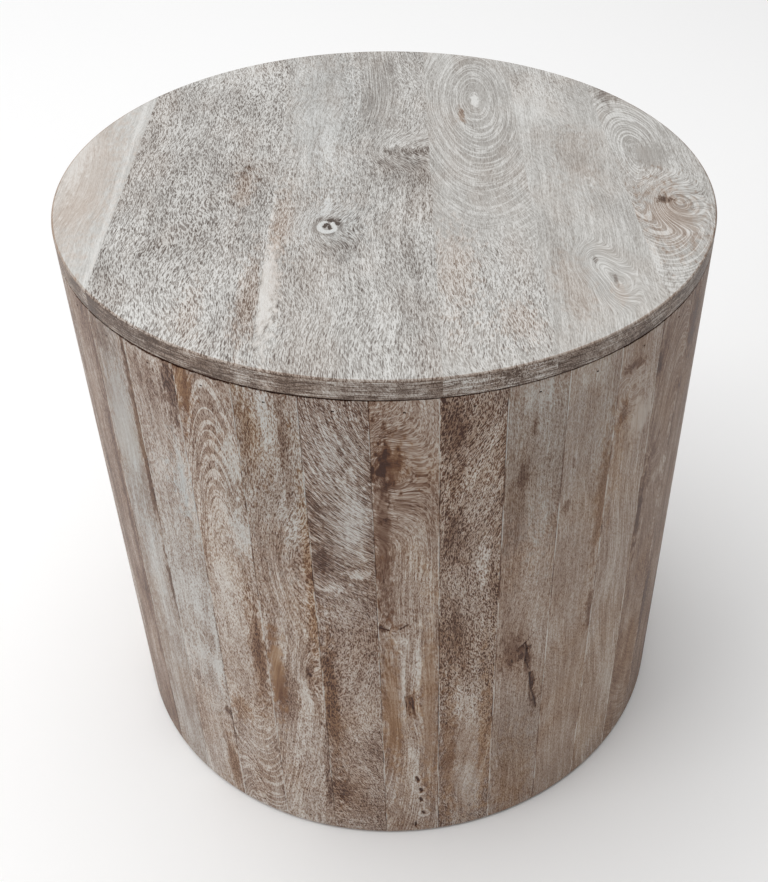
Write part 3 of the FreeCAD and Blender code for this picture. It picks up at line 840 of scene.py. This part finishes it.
# Each board's look, from left to right: its log, its finish and its marks, as washed_wood takes them.
board_looks = (
    ((-0.35, -1.5, 0.04, 0.004), (0.8, 0.12, 0.08, 0.0, 0.15), (
        ("tan", -235, 0, 24, 110, 0.9), ("wash", -246, 60, 8, 80, 0.15),
        ("wash", -208, 0, 2, 200, 0.12), ("smooth", -235, 0, 40, 150, 0.4),
        ("rim", -225, -120, 40, 40, -0.12),
    )),
    ((-0.10, -2.0, 0.05, 0.012), (0.55, 0.54, 0.06, 0.0, 0.4), (
        ("wash", -140, 200, 50, 30, 0.2), ("tan", -112, -8, 7, 30, 0.6),
        ("wash", -112, -8, 6, 26, -0.08), ("tan", -96, -160, 8, 50, 0.7),
        ("wash", -96, -175, 7, 30, -0.1), ("tan", -133, -175, 7, 30, 0.5),
        ("wash", -150, -190, 30, 50, 0.15), ("wash", -140, -20, 40, 80, -0.06),
        ("wash", -112, 20, 5, 8, -0.2), ("rim", -185, -173, 45, 45, -0.24),
    )),
    ((-0.20, 1.6, 0.06, 0.018), (0.61, 0.42, 0.14, 0.0, 0.35), (
        ("knot", -46, -66, 19, 22, 15), ("smooth", -46, -67, 9, 10, 1),
        ("halo", -46, -68, 5.8, 6.8, 1.4), ("wash", -47.6, -65, 1.5, 3, -1.5),
        ("wash", -45.6, -62.5, 2.8, 1.5, -1.5), ("wash", -44.4, -67.5, 1.4, 3, -1.5),
        ("wash", -43, -58, 4.5, 2, -1.3), ("wash", -39, -62, 1.8, 3, -1.3),
        ("halo", -46, -66, 9, 11, -0.25), ("wash", -47, -38, 3, 18, 0.3),
        ("cool", -46, -60, 26, 34, 0.3), ("wash", -35, -100, 16, 14, -0.15),
        ("knot", 14, 52, 24, 22, 20), ("wash", 18, 51, 18, 8, -0.3), ("wash", 3, 66, 7, 9, 0.18),
        ("wash", 12, 12, 24, 34, -0.22), ("wash", -10, 150, 16, 90, -0.12),
        ("wash", -50, 70, 7, 45, 0.2), ("wash", 14, -150, 10, 80, -0.1),
        ("wash", -84, -150, 6, 50, 0.4), ("smooth", -84, -150, 7, 60, 0.8),
        ("tan", -84, -150, 7, 60, 0.6), ("tan", -80, -60, 8, 50, 0.6), ("wash", -70, 60, 10, 160, 0.05),
        ("smooth", -60, 130, 26, 110, 0.45), ("wash", -50, 150, 26, 90, 0.07),
        ("cool", -50, 130, 26, 110, 0.3), ("lined", -8, 170, 16, 80, 0.6),
        ("rim", -50, -249, 45, 30, 0.2),
    )),
    ((0.075, 0.145, 0.33, 0.006), (0.67, 0.17, 0.25, 0.0, 0.2), (
        ("wash", 75, 145, 3.5, 10, 0.5), ("smooth", 75, 145, 4, 12, 1), ("tan", 62, 118, 3, 12, 1),
        ("wash", 62, 118, 3, 12, -0.2), ("tan", 46, -130, 14, 50, 0.6), ("tan", 85, -190, 14, 20, 0.6),
        ("wash", 50, 230, 12, 40, 0.1), ("plain", 70, -170, 90, 125, 1),
        ("smooth", 70, -170, 50, 80, -1.8),
    )),
    ((0.04, 1.2, 0.05, 0.008), (0.7, 0.18, 0.12, 0.0, 0.3), (
        ("wash", 115, 150, 30, 60, 0.13), ("smooth", 135, 190, 30, 40, -1),
        ("knot", 145, -120, 11, 19, 26), ("knot", 156, -147, 11, 22, 24),
        ("wash", 150, 50, 14, 50, -0.1), ("wash", 146, -117, 1.5, 5, -0.35),
        ("wash", 157, -142, 1.5, 6, -0.35), ("lined", 152, -134, 22, 46, 0.4),
        ("halo", 156, -2, 4, 6, 0.15), ("tan", 158, -160, 5, 14, 0.6), ("tan", 128, -150, 12, 40, 0.4),
        ("wash", 118, -100, 10, 60, -0.08), ("wash", 115, 190, 6, 20, -0.2),
        ("tan", 150, 40, 16, 50, 0.3), ("rim", 178, -180, 32, 32, -0.22),
    )),
    ((0.2, 0.04, 0.3, 0.01), (0.71, 0.24, 0.2, 0.0, 0.3), (
        ("wash", 212, 42, 16, 22, -0.15), ("smooth", 212, 42, 14, 20, 0.8),
        ("knot", 218, -31, 17, 30, 30), ("lined", 204, 110, 28, 70, 0.45),
        ("lined", 212, -70, 26, 70, 0.4), ("wash", 211, -30, 4.5, 6, -0.5),
        ("tan", 212, -58, 21, 46, 0.9), ("wash", 214, -45, 22, 44, -0.11),
        ("plain", 222, -50, 14, 24, 0.3), ("wash", 192, 160, 9, 20, -0.3),
        ("wash", 190, -115, 3, 26, 0.3), ("rim", 205, -150, 25, 25, -0.13),
    )),
)

# The strokes of the boards' open cracks and knots, as in stave_cracks.
board_cracks = {
    3: [
        (-49, -64, -47, -69, 1.0, 0.7), (-48, -63, -44, -62, 0.9, 0.7), (-45, -65, -44, -71, 0.9, 0.7),
        (-47, -58, -41, -58, 1.2, 0.6), (-41, -58, -39, -64, 1.1, 0.6), (4, 55, 14, 51, 1.3, 0.6),
        (12, 56, 22, 52, 1.2, 0.6), (20, 49, 31, 52, 1.3, 0.6),
    ],
    5: [(145, -114, 147, -121, 1.2, 0.4), (156, -138, 158, -147, 1.1, 0.4)],
    6: [(207, -28, 211, -31, 1.3, 0.7), (212, -27, 213, -33, 1.1, 0.6), (208, -34, 212, -37, 1.1, 0.5)],
}
glue_lines = list(zip((share * table_radius for share in glue_line_x_shares), glue_line_leans))
for number, (log, finish, marks) in enumerate(board_looks):
    mesh = round_top()
    if number > 0:
        sawn(mesh, *glue_lines[number - 1], 1)
    if number < len(glue_lines):
        sawn(mesh, *glue_lines[number], -1)
    if number + 1 in board_cracks:
        carved(mesh, Vector((0, 0, 1)), board_cracks[number + 1])
    name = "washed_top_board_%d" % (number + 1)
    seed = number * 3.1 + 1
    wood = washed_wood(name, 0, "top", log, seed, top_coat, finish, marks)
    new_piece(name, mesh, "top_board_%d" % (number + 1), wood)

# Twelve countersunk wood screws of yellow zinc, two to a board, go up through the upper ring into
# the top. Each head has a square drive.
screw_length = 0.032
shank_radius = 0.002
head_radius = 0.004
point_length = 0.004
drive_width = 0.0032
drive_depth = 0.002
drive_border_share = 1.5
round_sides = 32
outermost_glue_line = table_radius * max(abs(share) for share in glue_line_x_shares)
fastener_radius = (outermost_glue_line + brad_tip_radius) / 2


def turned(mesh, outline):
    """Adds a solid turned about the upright axis from an outline of (radius, height) points."""
    verts = [mesh.verts.new((radius, 0, height)) for radius, height in outline]
    edges = [mesh.edges.new(pair) for pair in zip(verts, verts[1:])]
    bmesh.ops.spin(
        mesh, geom=verts + edges, axis=(0, 0, 1), cent=(0, 0, 0), angle=2 * math.pi,
        steps=round_sides, use_merge=True,
    )
    bmesh.ops.remove_doubles(mesh, verts=mesh.verts, dist=hairbreadth)
    bmesh.ops.recalc_face_normals(mesh, faces=mesh.faces)


def strewn(mesh, places):
    """Moves what a mesh holds to the first place and copies it to the others."""
    first = mesh.verts[:] + mesh.edges[:] + mesh.faces[:]
    for place in places[1:]:
        copy = bmesh.ops.duplicate(mesh, geom=first)["geom"]
        verts = [part for part in copy if isinstance(part, bmesh.types.BMVert)]
        bmesh.ops.translate(mesh, verts=verts, vec=place)
    first_verts = [part for part in first if isinstance(part, bmesh.types.BMVert)]
    bmesh.ops.translate(mesh, verts=first_verts, vec=places[0])


screw_z = stave_top_z - ring_thickness
neck_z = screw_z + head_radius - shank_radius
tip_z = screw_z + screw_length
half_drive = drive_width / 2
mesh = bmesh.new()
turned(mesh, [
    (half_drive * drive_border_share, screw_z), (head_radius, screw_z), (shank_radius, neck_z),
    (shank_radius, tip_z - point_length), (0, tip_z),
])
rim_edges = [edge for edge in mesh.edges if edge.is_boundary]
bmesh.ops.create_circle(
    mesh, segments=4, radius=half_drive * math.sqrt(2), matrix=Matrix.Translation((0, 0, screw_z)),
)
drive_edges = [edge for edge in mesh.edges if edge.is_wire]
bmesh.ops.bridge_loops(mesh, edges=rim_edges + drive_edges)
drive_rim = [edge for edge in mesh.edges if edge.is_boundary]
sunk = bmesh.ops.extrude_edge_only(mesh, edges=drive_rim)["geom"]
sunk_verts = [part for part in sunk if isinstance(part, bmesh.types.BMVert)]
bmesh.ops.translate(mesh, verts=sunk_verts, vec=(0, 0, drive_depth))
bmesh.ops.holes_fill(mesh, edges=[edge for edge in mesh.edges if edge.is_boundary])
bmesh.ops.recalc_face_normals(mesh, faces=mesh.faces)
edge_places = [-table_radius] + [place for place, lean in glue_lines] + [table_radius]
screw_places = []
for left, right in zip(edge_places, edge_places[1:]):
    start = math.acos(max(-1, left / fastener_radius))
    end = math.acos(min(1, right / fastener_radius))
    for side in (1, -1):
        middle = side * (start + end) / 2
        screw_places.append((fastener_radius * math.cos(middle), fastener_radius * math.sin(middle), 0))
strewn(mesh, screw_places)
zinc = dull_metal("yellow_zinc", srgb(196, 178, 120), 0.25)
new_piece("turned_screws", mesh, "top_screws", zinc)

# Seven nylon glides under the lower ring, each an off-white disc with a rounded edge and a recess,
# held by one flat-headed zinc nail.
glide_radius = 0.011
glide_height = 0.003
glide_edge_round = 0.0008
recess_radius = 0.0045
recess_depth = 0.0016
bore_radius = 0.00105
nail_head_radius = 0.00325
nail_head_thickness = 0.0008
nail_head_flat_share = 0.7
nail_head_crown_share = 0.9
nail_head_edge_share = 0.35
nail_radius = 0.001
nail_length = 0.016
nail_point_length = 0.0025
nylon_relief = 0.00004
glide_places = []
for number in range(ring_board_count):
    turn = ring_board_turn(ring_first_joints["lower_ring"], number)
    glide_places.append((fastener_radius * math.sin(turn), -fastener_radius * math.cos(turn), 0))


def moulded_nylon():
    """Off-white nylon, faintly mottled, with scuffs from the floor on its underside."""
    material, tree, x, y, z = new_finish("moulded_nylon")
    mottle = noise(tree, (x * 500, y * 500, z * 500), 2, 0.5)
    scuffs = noise(tree, (x * 3000 + y * 1200, y * 260, z * 900)).step(0.55, 0.75)
    darkening = scuffs * z.step(0.0006, 0)
    surface = mixed(tree, mottle, srgb(206, 203, 192), srgb(222, 219, 209))
    surface = mixed(tree, darkening, surface, srgb(150, 146, 136))
    finished(material, surface, darkening * 0.25 + 0.42, mottle - scuffs, nylon_relief)
    return material


mesh = bmesh.new()
turned(mesh, [
    (bore_radius, glide_height), (bore_radius, recess_depth), (recess_radius, recess_depth),
    (recess_radius, 0), (glide_radius, 0), (glide_radius, glide_height), (bore_radius, glide_height),
])
foot_edges = [
    edge for edge in mesh.edges
    if all(vert.co.z < hairbreadth for vert in edge.verts)
    and all(vert.co.xy.length > glide_radius - hairbreadth for vert in edge.verts)
]
eased(mesh, foot_edges, glide_edge_round, 4)
strewn(mesh, glide_places)
new_piece("nylon_glides", mesh, "glides", moulded_nylon())

mesh = bmesh.new()
nail_tip_z = recess_depth + nail_length
turned(mesh, [
    (0, recess_depth - nail_head_thickness),
    (nail_head_radius * nail_head_flat_share, recess_depth - nail_head_thickness * nail_head_crown_share),
    (nail_head_radius, recess_depth - nail_head_thickness * nail_head_edge_share),
    (nail_head_radius, recess_depth), (nail_radius, recess_depth),
    (nail_radius, nail_tip_z - nail_point_length), (0, nail_tip_z),
])
strewn(mesh, glide_places)
bright_zinc = dull_metal("bright_zinc", srgb(176, 178, 180), 0.2)
new_piece("flat_headed_nails", mesh, "glide_nails", bright_zinc)
